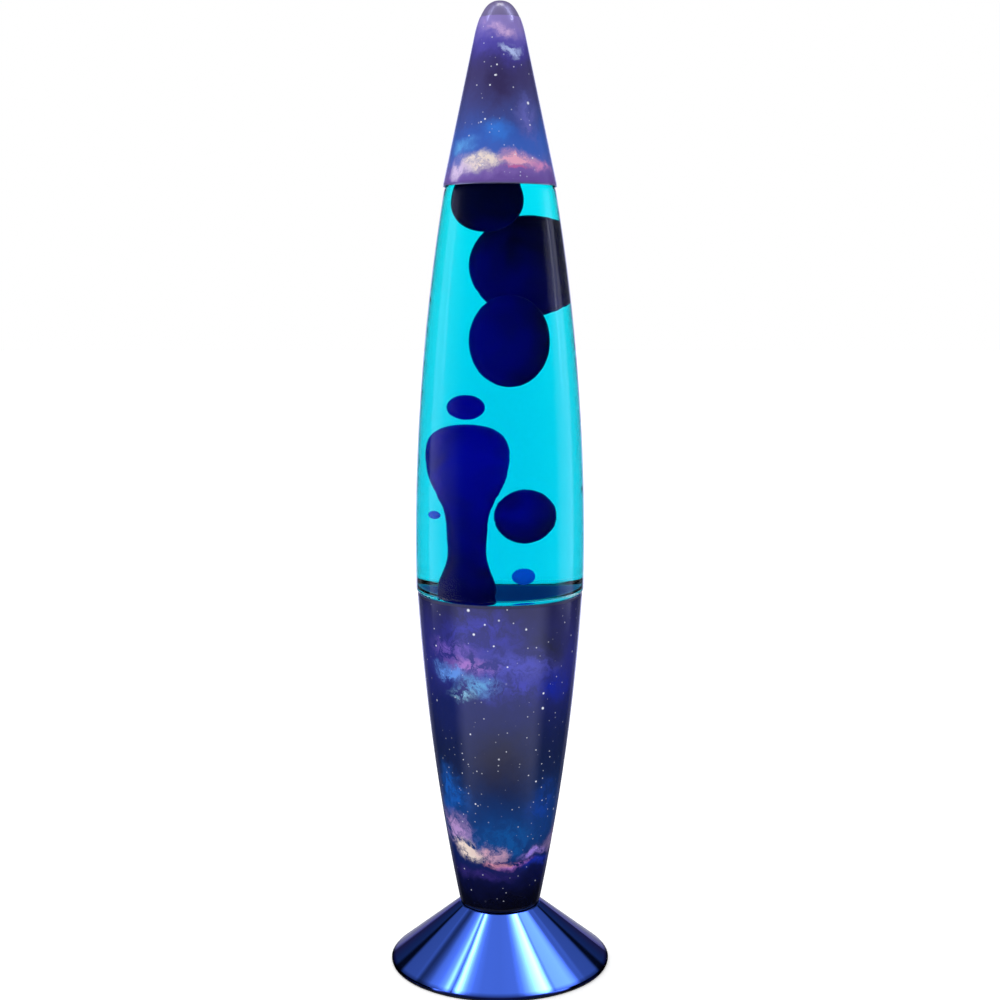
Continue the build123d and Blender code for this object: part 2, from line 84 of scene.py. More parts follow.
def linear(hex_colour):
    """An sRGB hex colour as the linear colour that the shaders work in."""
    channels = [int(hex_colour[i : i + 2], 16) / 255 for i in (0, 2, 4)]
    return (*[c / 12.92 if c <= 0.04045 else ((c + 0.055) / 1.055) ** 2.4 for c in channels], 1.0)


def add(tree, kind, inputs=None, output=0, **settings):
    """Adds a node with its settings and links, and gives back one of its outputs."""
    item = tree.nodes.new(kind)
    for name, value in settings.items():
        setattr(item, name, value)
    for socket, value in (inputs or {}).items():
        if isinstance(value, bpy.types.NodeSocket):
            tree.links.new(value, item.inputs[socket])
        else:
            item.inputs[socket].default_value = value
    return item.outputs[output] if item.outputs else item


def new_material(name):
    """An empty material with its Principled shader joined to the output."""
    material = bpy.data.materials.new(name)
    material.use_nodes = True
    tree = material.node_tree
    tree.nodes.clear()
    surface = add(tree, "ShaderNodeBsdfPrincipled")
    output = add(tree, "ShaderNodeOutputMaterial", {"Surface": surface})
    return material, tree, surface.node, output


def set_inputs(shader, **values):
    """Sets the shader's own sockets; an underscore in a name stands for a space."""
    for name, value in values.items():
        shader.inputs[name.replace("_", " ")].default_value = value


def place(tree):
    """The point's place in the lamp's frame, in metres."""
    return add(tree, "ShaderNodeTexCoord", output="Object")


def graded_ink(tree, height, low_mm, high_mm, stops, interpolation="LINEAR"):
    """Colour that changes with height, from stops of (0 at the bottom to 1 at the top, hex colour)."""
    level = add(tree, "ShaderNodeMapRange", {
        "Value": height, "From Min": low_mm * MM, "From Max": high_mm * MM})
    ink = add(tree, "ShaderNodeValToRGB", {"Fac": level})
    grades = ink.node.color_ramp
    grades.interpolation = interpolation
    while len(grades.elements) < len(stops):
        grades.elements.new(0.5)
    for element, (position, colour) in zip(grades.elements, stops):
        element.position = position
        element.color = linear(colour)
    return ink


def fine_bump(tree, shader, grain_mm, depth_mm, stretch=(1, 1, 1)):
    """A shallow uneven surface, its grain given in millimetres."""
    spread = add(tree, "ShaderNodeMapping", {"Vector": place(tree), "Scale": stretch})
    noise = add(tree, "ShaderNodeTexNoise", {
        "Vector": spread, "Scale": 1 / (grain_mm * MM), "Detail": 3.0})
    bump = add(tree, "ShaderNodeBump", {
        "Height": noise, "Distance": depth_mm * MM, "Strength": 1.0})
    tree.links.new(bump, shader.inputs["Normal"])


def uneven_roughness(tree, shader, patch_mm, low, high):
    """Roughness that drifts between two values over patches of a given size, as handling leaves it."""
    noise = add(tree, "ShaderNodeTexNoise", {
        "Vector": place(tree), "Scale": 1 / (patch_mm * MM), "Detail": 4.0})
    level = add(tree, "ShaderNodeMapRange", {
        "Value": noise, "From Min": 0.35, "From Max": 0.65, "To Min": low, "To Max": high})
    tree.links.new(level, shader.inputs["Roughness"])


def paint(material, *names):
    """Gives CAD nodes a material, in every slot that they have."""
    for name in names:
        mesh = nodes[name].data
        mesh.materials.clear()
        mesh.materials.append(material)
        for polygon in mesh.polygons:
            polygon.material_index = 0
            polygon.use_smooth = True
        mesh.update()


# ---- The printed films: a night sky --------------------------------------------------------------

# Sizes in the print, in mm: large billows, how far they push the clouds, and the clouds' fine wisps
BILLOW = 24
PUSH = 26
WISP = 7
# Cell, largest radius and share of cells for the small and the large stars
SMALL_STARS = (3.2, 0.40, 0.9)
LARGE_STARS = (8.5, 0.62, 0.8)


def soft_patch(tree, where, angle, height, half_width, half_height, radius, edge=0.0):
    """1 at a point of the wall, given by its angle from the front and its height, falling to 0."""
    turn = radians(angle)
    centre = Vector((radius * sin(turn), -radius * cos(turn), height)) * MM
    shrink = (1 / (half_width * MM), 1 / (half_width * MM), 1 / (half_height * MM))
    away = add(tree, "ShaderNodeVectorMath", {0: where, 1: centre}, operation="SUBTRACT")
    scaled = add(tree, "ShaderNodeVectorMath", {0: away, 1: shrink}, operation="MULTIPLY")
    distance = add(tree, "ShaderNodeVectorMath", {0: scaled}, "Value", operation="LENGTH")
    return add(tree, "ShaderNodeMapRange", {
        "Value": distance, "From Min": 1.0, "From Max": edge, "To Min": 0.0, "To Max": 1.0},
        interpolation_type="SMOOTHSTEP")


def star_field(tree, where, cell_mm, star_mm, share):
    """Small round stars, one to a cell in a share of the cells, each with its own brightness."""
    distance = add(tree, "ShaderNodeTexVoronoi", {"Vector": where, "Scale": 1 / (cell_mm * MM)})
    dot = add(tree, "ShaderNodeMapRange", {
        "Value": distance, "From Min": star_mm / cell_mm, "From Max": 0.3 * star_mm / cell_mm,
        "To Min": 0.0, "To Max": 1.0})
    chance = add(tree, "ShaderNodeSeparateColor", {"Color": distance.node.outputs["Color"]})
    lit = add(tree, "ShaderNodeMapRange", {
        "Value": chance, "From Min": 1 - share, "From Max": 1.0, "To Min": 0.0, "To Max": 1.0})
    return add(tree, "ShaderNodeMath", {0: dot, 1: lit}, operation="MULTIPLY")


def sky_print(name, film, sky, clouds, stars, radius_of):
    """Gloss vinyl film with a printed night sky: flat ink under a clear, hard gloss."""
    material, tree, shader, _ = new_material(name)
    film_low, film_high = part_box(film)
    where = place(tree)
    # The ink's edges wander as a brush would: large billows with small ones on them
    billows = add(tree, "ShaderNodeTexNoise", {
        "Vector": where, "Scale": 1 / (BILLOW * MM), "Detail": 7.0, "Roughness": 0.62}, "Color")
    centred = add(tree, "ShaderNodeVectorMath", {0: billows, 1: (0.5, 0.5, 0.5)}, operation="SUBTRACT")
    wander = add(tree, "ShaderNodeVectorMath", {0: centred, "Scale": PUSH * MM}, operation="SCALE")
    brushed = add(tree, "ShaderNodeVectorMath", {0: where, 1: wander})
    height = add(tree, "ShaderNodeSeparateXYZ", {"Vector": brushed}, "Z")
    colour = graded_ink(tree, height, film_low.z / MM, film_high.z / MM, sky, "B_SPLINE")
    wisps = add(tree, "ShaderNodeTexNoise", {
        "Vector": brushed, "Scale": 1 / (WISP * MM), "Detail": 10.0, "Roughness": 0.68,
        "Distortion": 0.6})
    for angle, z, half_width, half_height, ink, strength, raggedness in clouds:
        patch = soft_patch(tree, brushed, angle, z, half_width, half_height, radius_of(z))
        thick = 1.25 * strength
        torn = add(tree, "ShaderNodeMapRange", {
            "Value": wisps, "From Min": 0.42, "From Max": 0.58,
            "To Min": thick * max(0.0, 1 - 1.4 * raggedness), "To Max": thick})
        cover = add(tree, "ShaderNodeMath", {0: patch, 1: torn}, operation="MULTIPLY", use_clamp=True)
        colour = add(tree, "ShaderNodeMix", {0: cover, 6: colour, 7: linear(ink)}, 2, data_type="RGBA")
    small = star_field(tree, where, *SMALL_STARS)
    large = star_field(tree, where, *LARGE_STARS)
    shine = add(tree, "ShaderNodeMath", {0: small, 1: large}, operation="ADD", use_clamp=True)
    for angle, z, size in stars:
        star = soft_patch(tree, where, angle, z, size, size, radius_of(z), edge=0.35)
        shine = add(tree, "ShaderNodeMath", {0: shine, 1: star}, operation="ADD", use_clamp=True)
    colour = add(tree, "ShaderNodeMix", {0: shine, 6: colour, 7: linear("EEF2FF")}, 2, data_type="RGBA")
    tree.links.new(colour, shader.inputs["Base Color"])
    set_inputs(
        shader, Roughness=0.32, IOR=1.5, Specular_IOR_Level=0.1,
        Coat_Weight=1.0, Coat_Roughness=0.06, Coat_IOR=1.5)
    return material


# The sky's ground, from the film's lower edge (0) to its upper edge (1)
BASE_SKY = (
    (0.00, "01010A"), (0.06, "020522"), (0.13, "040C50"), (0.20, "04286A"), (0.28, "033C80"),
    (0.36, "0A2C66"), (0.45, "10204A"), (0.55, "0E1C4C"), (0.68, "141E5E"), (0.80, "262A86"),
    (0.92, "26286E"), (1.00, "22224E"),
)
CAP_SKY = (
    (0.00, "6A50A0"), (0.08, "7A62B4"), (0.16, "4C68C0"), (0.28, "3264C8"), (0.38, "40509C"),
    (0.55, "443E74"), (0.70, "403A6C"), (0.80, "4840A4"), (0.88, "6A60C0"), (0.95, "9080CC"),
    (1.00, "8A7AC0"),
)
# Clouds: angle from the front and height, half-width and half-height in mm, ink, strength, raggedness
BASE_CLOUDS = (
    # A painted reflection of the dark room in front: the dark grey patch at the front centre
    (0, 104, 20, 22, "22243E", 0.9, 0.0),
    # A dark gap and the violet veil across the upper half
    (34, 152, 20, 22, "26284A", 0.9, 0.2),
    (-14, 160, 30, 16, "3638AC", 0.9, 0.6),
    (8, 143, 34, 15, "484CBC", 0.9, 0.6),
    (10, 134, 24, 9, "383CB4", 0.9, 0.7),
    (-44, 124, 18, 14, "0A1A5C", 0.9, 0.4),
    # The rose and pale blue nebula on the left
    (-34, 151, 18, 9, "6C54B8", 1.0, 0.8),
    (-20, 144, 15, 6, "A070C8", 1.3, 0.9),
    (-38, 140, 14, 5, "5C90E4", 1.3, 0.9),
    (-16, 135, 13, 6, "5EA4DC", 1.2, 0.9),
    (-28, 131, 9, 4, "8CC8E8", 1.0, 0.9),
    (48, 136, 14, 10, "0620A0", 1.0, 0.4),
    # The bright blue glow above the horizon
    (-50, 84, 15, 17, "0056B4", 1.1, 0.5),
    (46, 78, 12, 14, "023C9A", 1.0, 0.6),
    (2, 64, 26, 10, "00529E", 1.1, 0.5),
    # The lit clouds on the horizon, highest on the left
    (-52, 65, 13, 12, "B490CC", 1.2, 0.8),
    (-38, 58, 12, 6, "F0DCD0", 1.4, 0.8),
    (-12, 59, 10, 6, "D8A8C0", 1.2, 0.9),
    (0, 54, 10, 3.5, "E89CB4", 1.2, 0.9),
    (22, 52, 12, 3, "B070D0", 1.2, 0.9),
    (44, 57, 12, 4, "9A80E0", 1.0, 0.9),
    (50, 50, 14, 4, "0A28A8", 1.0, 0.5),
    (-24, 47, 22, 5, "2E2270", 1.0, 0.5),
    # The same sky carried on round the back
    (120, 150, 30, 12, "7A5AB0", 0.9, 0.7),
    (150, 138, 24, 8, "7FB4DC", 0.9, 0.8),
    (-130, 142, 28, 12, "8866B8", 0.9, 0.7),
    (100, 60, 26, 9, "C09AC8", 1.0, 0.7),
    (150, 56, 20, 7, "F0DCD0", 1.1, 0.8),
    (-150, 60, 22, 8, "D8A8C0", 1.0, 0.8),
    (-110, 62, 20, 9, "0A5CB0", 1.0, 0.5),
)
CAP_CLOUDS = (
    # The blue glow behind the lit clouds near the rim
    (0, 376, 9, 8, "3A7CE0", 1.0, 0.2),
    (-45, 371, 10, 5, "5AA0E8", 1.0, 0.4),
    # The lit clouds, cream on the left and rose on the right
    (-16, 363, 14, 6.5, "F4E4DC", 1.5, 0.5),
    (-44, 362, 8, 7, "D8C4EC", 1.2, 0.6),
    (22, 364, 13, 6.5, "F0B0CC", 1.4, 0.5),
    (48, 361, 9, 5, "D890C8", 1.1, 0.6),
    (0, 357, 24, 3, "8468B8", 1.0, 0.4),
    (18, 359, 9, 1.5, "C46AA8", 1.0, 0.7),
    # The dusky middle at the front, a painted reflection of the dark room in front, and the small
    # clouds under the tip
    (0, 398, 9, 14, "383060", 0.9, 0.1),
    (40, 382, 10, 14, "6468BC", 0.9, 0.5),
    (-4, 419, 9, 4.5, "D0B0E4", 1.2, 0.6),
    (25, 411, 8, 3.5, "B8C8F8", 1.3, 0.8),
    (-30, 410, 8, 6, "5A52B8", 0.9, 0.3),
    # The same sky carried on round the back
    (130, 364, 18, 6, "F0B0CC", 1.3, 0.6),
    (-150, 363, 16, 6, "F4E4DC", 1.3, 0.6),
    (-100, 366, 12, 6, "D8C4EC", 1.1, 0.7),
    (180, 376, 12, 7, "3A7CE0", 1.0, 0.4),
    (150, 414, 10, 4, "C898D8", 1.0, 0.6),
    (-140, 412, 9, 4, "A8B8F0", 1.0, 0.7),
)
# The brightest stars: angle from the front, height and radius in mm
BASE_STARS = (
    (-21.7, 170.4, 0.9), (-18.2, 159.8, 0.75), (34.5, 125.3, 0.8), (34.2, 132.2, 0.65),
    (18.1, 162.0, 0.6), (-10.3, 164.4, 0.55), (-4.3, 154.9, 0.55), (5.3, 145.5, 0.5),
    (-51.9, 152.2, 0.55), (-24.0, 114.0, 0.5), (33.4, 91.2, 0.55), (-23.2, 81.2, 0.5),
)
CAP_STARS = (
    (42.8, 387.2, 0.9), (-5.2, 403.2, 0.5), (-8.1, 398.7, 0.5), (-15.4, 394.5, 0.5),
    (-19.4, 380.0, 0.55), (-24.5, 378.8, 0.5), (40.6, 377.8, 0.5), (37.6, 363.7, 0.5),
)

# Printed vinyl: deep, even ink that reads as painted sky, under a wet-looking gloss
base_print = sky_print(
    "gloss_vinyl_night_sky_base", "base_wrap", BASE_SKY, BASE_CLOUDS, BASE_STARS, base_radius)
cap_print = sky_print(
    "gloss_vinyl_night_sky_cap", "cap_wrap", CAP_SKY, CAP_CLOUDS, CAP_STARS, cap_radius)
paint(base_print, "base_wrap")
paint(cap_print, "cap_wrap")


# ---- Metals --------------------------------------------------------------------------------------

def metal(name, colour, roughness, grain_mm=None, depth_mm=0.0, spread=0.05):
    """A bare or plated metal whose shine drifts a little over its surface."""
    material, tree, shader, _ = new_material(name)
    set_inputs(shader, Base_Color=linear(colour), Metallic=1.0)
    uneven_roughness(tree, shader, 14, roughness, roughness + spread)
    if grain_mm:
        fine_bump(tree, shader, grain_mm, depth_mm)
    return material, shader


def lacquered_foot():
    """Spun steel under transparent blue lacquer over bright chromium: a mirror seen through blue."""
    # Seen edge-on, the light goes a long way through the lacquer and comes back dark
    material, shader = metal("blue_lacquered_chrome", "598EF9", 0.035, spread=0.02)
    set_inputs(shader, Specular_Tint=linear("1C2440"), Coat_Roughness=0.03, Coat_IOR=1.5)
    # Painted shade: the colour is darker, and the coat thinner, on the rolled edge at the bottom, where
    # the foot turns under
    tree = material.node_tree
    height = add(tree, "ShaderNodeSeparateXYZ", {"Vector": place(tree)}, "Z")
    above_painted_shade_edge = add(tree, "ShaderNodeMapRange", {
        "Value": height, "From Min": 1.6 * MM, "From Max": 3.2 * MM})
    tint = add(tree, "ShaderNodeMix", {
        0: above_painted_shade_edge, 6: linear("141E48"), 7: linear("598EF9")}, 2, data_type="RGBA")
    tree.links.new(tint, shader.inputs["Base Color"])
    gloss = add(tree, "ShaderNodeMapRange", {"Value": above_painted_shade_edge, "To Min": 0.05, "To Max": 0.5})
    tree.links.new(gloss, shader.inputs["Coat Weight"])
    return material


def outside_base(tree, section, z):
    """1 on the outer half of the base's sheet, and right round its lower corner."""
    widest_r, widest_z, bulge_r = BASE_ARC
    half_sheet, corner_z, corner_depth = 0.45, 30.0, 2.2
    arc_centre = ((widest_r - bulge_r - half_sheet) * MM, 0, widest_z * MM)
    # The sheet turns in at the corner, so there the line between inside and outside lies deeper
    low = add(tree, "ShaderNodeMath", {0: z, 1: corner_z * MM}, operation="LESS_THAN")
    at_corner = add(tree, "ShaderNodeCombineXYZ", {"X": low})
    moved_out = add(tree, "ShaderNodeVectorMath", {
        0: at_corner, 1: (corner_depth * MM, 0, 0), 2: section}, operation="MULTIPLY_ADD")
    reach = add(tree, "ShaderNodeVectorMath", {
        0: moved_out, 1: arc_centre}, "Value", operation="DISTANCE")
    return add(tree, "ShaderNodeMath", {0: reach, 1: bulge_r * MM}, operation="GREATER_THAN")


def outside_cap(tree, section, z):
    """1 on the outer half of the cap's sheet and on its tip, and 0 on the cut edge of its rim."""
    half_sheet, tip_z, edge_z = 0.4, 424.0, 353.0
    skin = (CAP_RIM_R + CAP_TAPER * CAP_RIM_Z - half_sheet) * MM
    reach = add(tree, "ShaderNodeVectorMath", {
        0: section, 1: (1, 0, CAP_TAPER)}, "Value", operation="DOT_PRODUCT")
    outer = add(tree, "ShaderNodeMath", {0: reach, 1: skin}, operation="GREATER_THAN")
    tip = add(tree, "ShaderNodeMath", {0: z, 1: tip_z * MM}, operation="GREATER_THAN")
    edge = add(tree, "ShaderNodeMath", {0: z, 1: edge_z * MM}, operation="LESS_THAN")
    either = add(tree, "ShaderNodeMath", {0: outer, 1: tip}, operation="ADD", use_clamp=True)
    return add(tree, "ShaderNodeMath", {0: either, 1: edge}, operation="SUBTRACT", use_clamp=True)


def shell_finish(name, inside_colour_and_painted_shade, shine, painted_glow_strength, lacquer, low_mm, high_mm, outside_of):
    """Spun aluminium with coloured lacquer outside. Inside and on its edge it takes a given colour
    (bare metal on the cap, a painted shade on the base) and near the mouth a painted glow.
    """
    material, tree, shader, _ = new_material(name)
    where = place(tree)
    z = add(tree, "ShaderNodeSeparateXYZ", {"Vector": where}, "Z")
    level_place = add(tree, "ShaderNodeVectorMath", {0: where, 1: (1, 1, 0)}, operation="MULTIPLY")
    radius = add(tree, "ShaderNodeVectorMath", {0: level_place}, "Value", operation="LENGTH")
    section = add(tree, "ShaderNodeCombineXYZ", {"X": radius, "Z": z})
    outside = outside_of(tree, section, z)
    skin = graded_ink(tree, z, low_mm, high_mm, lacquer)
    colour = add(tree, "ShaderNodeMix", {
        0: outside, 6: linear(inside_colour_and_painted_shade), 7: skin}, 2, data_type="RGBA")
    tree.links.new(colour, shader.inputs["Base Color"])
    inside_metallic = add(tree, "ShaderNodeMapRange", {"Value": outside, "To Min": shine, "To Max": 0.0})
    tree.links.new(inside_metallic, shader.inputs["Metallic"])
    # Painted glow: the inside emits its own colour, fading out within a few centimetres below the
    # mouth, in place of light coming down through the liquid
    glow_depth = 26
    near_mouth = add(tree, "ShaderNodeMapRange", {
        "Value": z, "From Min": (high_mm - glow_depth) * MM, "From Max": high_mm * MM,
        "To Min": 0.0, "To Max": painted_glow_strength})
    inside = add(tree, "ShaderNodeMath", {0: 1.0, 1: outside}, operation="SUBTRACT")
    glow = add(tree, "ShaderNodeMath", {0: inside, 1: near_mouth}, operation="MULTIPLY")
    tree.links.new(glow, shader.inputs["Emission Strength"])
    set_inputs(shader, Emission_Color=linear(inside_colour_and_painted_shade), Coat_Weight=0.3, Coat_Roughness=0.08)
    uneven_roughness(tree, shader, 14, 0.28, 0.36)
    return material


paint(lacquered_foot(), "foot_cone")

# Spun aluminium with dark lacquer outside, under the films. The cap is bare bright metal inside; the
# base's inside is a matt blue painted shade with a painted glow near its mouth
BASE_LACQUER = ((0.0, "02020C"), (0.5, "14204A"), (1.0, "26264E"))
CAP_LACQUER = ((0.0, "6A5AA0"), (0.5, "4A4478"), (1.0, "756A98"))
paint(shell_finish(
    "lacquered_spun_aluminium_base_painted_shade_and_glow_inside", "3A56A8", 0.0, 0.42, BASE_LACQUER, 28, 172, outside_base),
    "base_shell")
paint(shell_finish(
    "lacquered_spun_aluminium_cap", "B8BCD0", 1.0, 0.0, CAP_LACQUER, 353, 430, outside_cap),
    "cap_shell")

# Zinc-plated pressed steel: grey with a faint cool cast and a satin grain
zinc_sheet, _ = metal("zinc_plated_sheet_steel", "B9BCC0", 0.34, 0.6, 0.004, 0.12)
paint(zinc_sheet, "base_plate", "holder_bracket")
zinc_hardware, _ = metal("zinc_plated_hardware_steel", "C2C3C2", 0.28, 0.3, 0.003)
paint(zinc_hardware, "threaded_rod", "lock_washer", "upper_nut", "lower_nut", "holder_rivets")

# Pressed brass: warm yellow, bright in the folds
brass, _ = metal("pressed_brass", "D9B25C", 0.22, spread=0.1)
paint(brass, "holder_screw_shell", "holder_contact", "terminal_screws")

# Rolled aluminium screw cap of a bulb: pale and slightly matt
cap_aluminium, _ = metal("rolled_aluminium", "CFD0D2", 0.30, spread=0.1)
paint(cap_aluminium, "bulb_screw_cap")

# Tin solder on the bulb's contact: dull grey, lumpy
solder, _ = metal("tin_solder", "A9ABAE", 0.45, 0.8, 0.05)
paint(solder, "bulb_contact")

# Drawn tungsten, dark grey, and nickel wire, warmer and brighter
tungsten, _ = metal("drawn_tungsten_wire", "6E6D6B", 0.35)
paint(tungsten, "bulb_filament")
nickel, _ = metal("drawn_nickel_wire", "B8B4AC", 0.30)
paint(nickel, "filament_supports")

# Spring steel of the heat coil: grey wire with drawing marks
coil_steel, _ = metal("drawn_spring_steel", "9A9DA3", 0.25, 0.4, 0.003)
paint(coil_steel, "heat_coil")

# Gold-lacquered tinplate of the crown cap: yellow, with a soft gloss over the metal
crown_metal, crown_shader = metal("gold_lacquered_tinplate", "D8B45A", 0.25)
set_inputs(crown_shader, Coat_Weight=0.6, Coat_Roughness=0.12)
paint(crown_metal, "crown_cap")


# ---- Plastics, rubber and plain glass ------------------------------------------------------------

def moulding(name, colour, roughness, grain_mm, depth_mm, ior=1.5):
    """A moulded dielectric with a fine uneven skin."""
    material, tree, shader, _ = new_material(name)
    set_inputs(shader, Base_Color=linear(colour), IOR=ior)
    uneven_roughness(tree, shader, 8, roughness, roughness + 0.12)
    fine_bump(tree, shader, grain_mm, depth_mm)
    return material


# Black rubber: matt, with a fine grain from its mould
rubber = moulding("moulded_black_rubber", "141416", 0.62, 0.35, 0.02, 1.52)
paint(rubber, "foot_rubber_ring", "cord_bushing")
# Black phenolic resin: hard, low gloss
paint(moulding("black_phenolic_resin", "17171A", 0.38, 0.5, 0.006, 1.6), "holder_body")
# Black glass that insulates the bulb's contact: glossy and faintly wavy
paint(moulding("black_vitrite_glass", "0D0A12", 0.12, 1.2, 0.01, 1.6), "bulb_insulator")
# White foamed liner under the crown cap: chalky and soft
paint(moulding("white_polyethylene_foam", "E8E8E2", 0.6, 0.25, 0.03), "crown_liner")

# Soda-lime glass of the bulb: thin, colourless and a little wavy
bulb_glass, bulb_tree, bulb_shader, _ = new_material("thin_soda_lime_glass")
set_inputs(
    bulb_shader, Base_Color=linear("F6FAFA"), Transmission_Weight=1.0, Roughness=0.02, IOR=1.52)
fine_bump(bulb_tree, bulb_shader, 9, 0.01)
paint(bulb_glass, "bulb_envelope", "bulb_stem")


# ---- Globe, liquid and wax -----------------------------------------------------------------------

def blown_glass():
    """Borosilicate glass bottle: colourless and polished, with the faint waves of blown glass."""
    material, tree, shader, _ = new_material("blown_borosilicate_glass")
    # Seen square on it only bends the light, and its gloss is the thin coat's
    set_inputs(
        shader, Base_Color=linear("FFFFFF"), Transmission_Weight=1.0, Roughness=0.0, IOR=1.47,
        Coat_Weight=0.04, Coat_Roughness=0.02, Coat_IOR=1.47)
    # Seen edge-on it mirrors the white round it, so its outline stays pale
    turned_away = add(tree, "ShaderNodeLayerWeight", {"Blend": 0.5}, "Facing")
    edge_gloss = add(tree, "ShaderNodeMapRange", {
        "Value": turned_away, "From Min": 0.45, "From Max": 0.75})
    tree.links.new(edge_gloss, shader.inputs["Specular Tint"])
    fine_bump(tree, shader, 22, 0.012, (1, 1, 0.35))
    return material


def dyed_liquid():
    """Dyed water and glycol: clear, and it swallows all red light within a few millimetres."""
    material, tree, shader, output = new_material("dyed_water_and_glycol")
    set_inputs(
        shader, Base_Color=linear("FFFFFF"), Transmission_Weight=1.0, Roughness=0.0, IOR=1.36,
        Specular_Tint=(0, 0, 0, 1))
    dye = add(tree, "ShaderNodeVolumeAbsorption", {"Color": (0.0, 0.976, 0.987, 1.0), "Density": 400.0})
    tree.links.new(dye, output.inputs["Volume"])
    return material


def paraffin(name, painted_lit_colour, painted_shade_colour, painted_light_centre_mm, spread_mm, fringe, glow):
    """Dyed wax with painted light: brightest round a painted light centre and darker away from it
    (painted shade), with noise streaks along the fade.
    """
    material, tree, shader, _ = new_material(name)
    where = place(tree)
    painted_light_centre = Vector((painted_light_centre_mm[0], 0, painted_light_centre_mm[1])) * MM
    shrink = (1 / (spread_mm[0] * MM), 0.0, 1 / (spread_mm[1] * MM))
    away = add(tree, "ShaderNodeVectorMath", {0: where, 1: painted_light_centre}, operation="SUBTRACT")
    scaled = add(tree, "ShaderNodeVectorMath", {0: away, 1: shrink}, operation="MULTIPLY")
    distance = add(tree, "ShaderNodeVectorMath", {0: scaled}, "Value", operation="LENGTH")
    streaks = add(tree, "ShaderNodeTexNoise", {
        "Vector": where, "Scale": 1 / (16 * MM), "Detail": 2.0, "Distortion": 0.6})
    wander = add(tree, "ShaderNodeMapRange", {"Value": streaks, "To Min": -0.45, "To Max": 0.45})
    faded = add(tree, "ShaderNodeMath", {0: distance, 1: wander}, operation="ADD")
    fade = add(tree, "ShaderNodeMapRange", {"Value": faded}, interpolation_type="SMOOTHSTEP")
    tint = add(tree, "ShaderNodeMix", {0: fade, 6: linear(painted_lit_colour), 7: linear(painted_shade_colour)}, 2, data_type="RGBA")
    tree.links.new(tint, shader.inputs["Base Color"])
    # Painted glow: the wax also emits the same colour, though it is no lamp
    tree.links.new(tint, shader.inputs["Emission Color"])
    # Wax and liquid bend light almost alike, so the wax has hardly any gloss of its own
    set_inputs(
        shader, Roughness=0.5, IOR=1.06, Sheen_Weight=0.3, Sheen_Roughness=0.3,
        Sheen_Tint=linear(fringe), Emission_Strength=glow)
    fine_bump(tree, shader, 6, 0.02)
    return material


paint(blown_glass(), "globe_glass")
# Painted light: each group of blobs has its own lit and shaded colours and glow strength; the thin
# blobs' lighter blue and stronger glow stand in for light shining through them
rising_wax = paraffin(
    "navy_paraffin_wax_brighter_painted_light", "0404C8", "02035E", (-9, 246), (40, 84), "0810E0", 0.14)
top_wax = paraffin(
    "navy_paraffin_wax_dimmer_painted_light", "03039C", "010138", (-6, 284), (34, 66), "0810E0", 0.07)
thin_wax = paraffin(
    "thin_navy_dyed_paraffin_wax", "0A66F0", "0A50D8", (0, 200), (40, 60), "0A60F0", 0.45)
paint(rising_wax, "wax_mass", "wax_blob_4", "wax_blob_5")
paint(top_wax, "wax_blob_1", "wax_blob_2", "wax_blob_3")
paint(thin_wax, "wax_blob_6", "wax_blob_7")

# The liquid's outline in mm.  It wets the glass: its skin lies a hair inside the wall, so that no air
# shows between them
SEGMENTS = 128
GLASS_WALL = 2.2
GLASS_FLOOR = 3.0
WETTING = 0.12
HEEL_R = 9.0
SHEET_AND_GAP = 1.3
SHOULDER_Z = 350.5
NECK_BORE_R = 9.2
FILL_Z = 365.8
INSET = GLASS_WALL - WETTING


def below_rim(z):
    """Radius of the liquid inside the base, where the glass stands in from the base's wall."""
    return base_radius(z) - SHEET_AND_GAP - INSET


def above_rim(z):
    return arc_radius(GLOBE_ARC, z) - INSET


def shoulder(steps):
    """Points from the globe's wall in to the neck's bore, on one smooth curve."""
    start_r = above_rim(SHOULDER_Z)
    end_r = NECK_BORE_R + WETTING
    swing = sqrt((start_r - end_r) ** 2 + (FILL_Z - SHOULDER_Z) ** 2)
    lean, climb = 0.196, 0.981
    points = []
    for t in [i / steps for i in range(steps + 1)]:
        near = 2 * t**3 - 3 * t**2 + 1
        leave = t**3 - 2 * t**2 + t
        arrive = t**3 - t**2
        r = near * start_r + (1 - near) * end_r - leave * swing * lean
        z = near * SHOULDER_Z + (1 - near) * FILL_Z + (leave * climb + arrive) * swing
        points.append((r, z))
    return points


def liquid_outline():
    """Half of the liquid's section from its bottom to its top, as (radius, height)."""
    floor_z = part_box("globe_glass")[0].z / MM + GLASS_FLOOR - WETTING
    heel_r = below_rim(floor_z + WETTING + HEEL_R)
    heel_turns = [radians(15 * i) for i in range(7)]
    outline = [(0, floor_z)]
    outline += [(heel_r - HEEL_R * (1 - sin(a)), floor_z + HEEL_R * (1 - cos(a))) for a in heel_turns]
    outline += [(below_rim(z), z) for z in (140, 150, 160, 168, 172)]
    # The glass widens over the base's rim, which it sits on
    seat_r = below_rim(BASE_RIM_Z)
    outline += [(seat_r + 0.25, 172.8), (seat_r + 0.85, 173.4), (seat_r + 1.5, 174.1)]
    outline += [(above_rim(z), z) for z in (174.6, *range(177, 349, 4))]
    return outline + shoulder(12) + [(0, FILL_Z)]


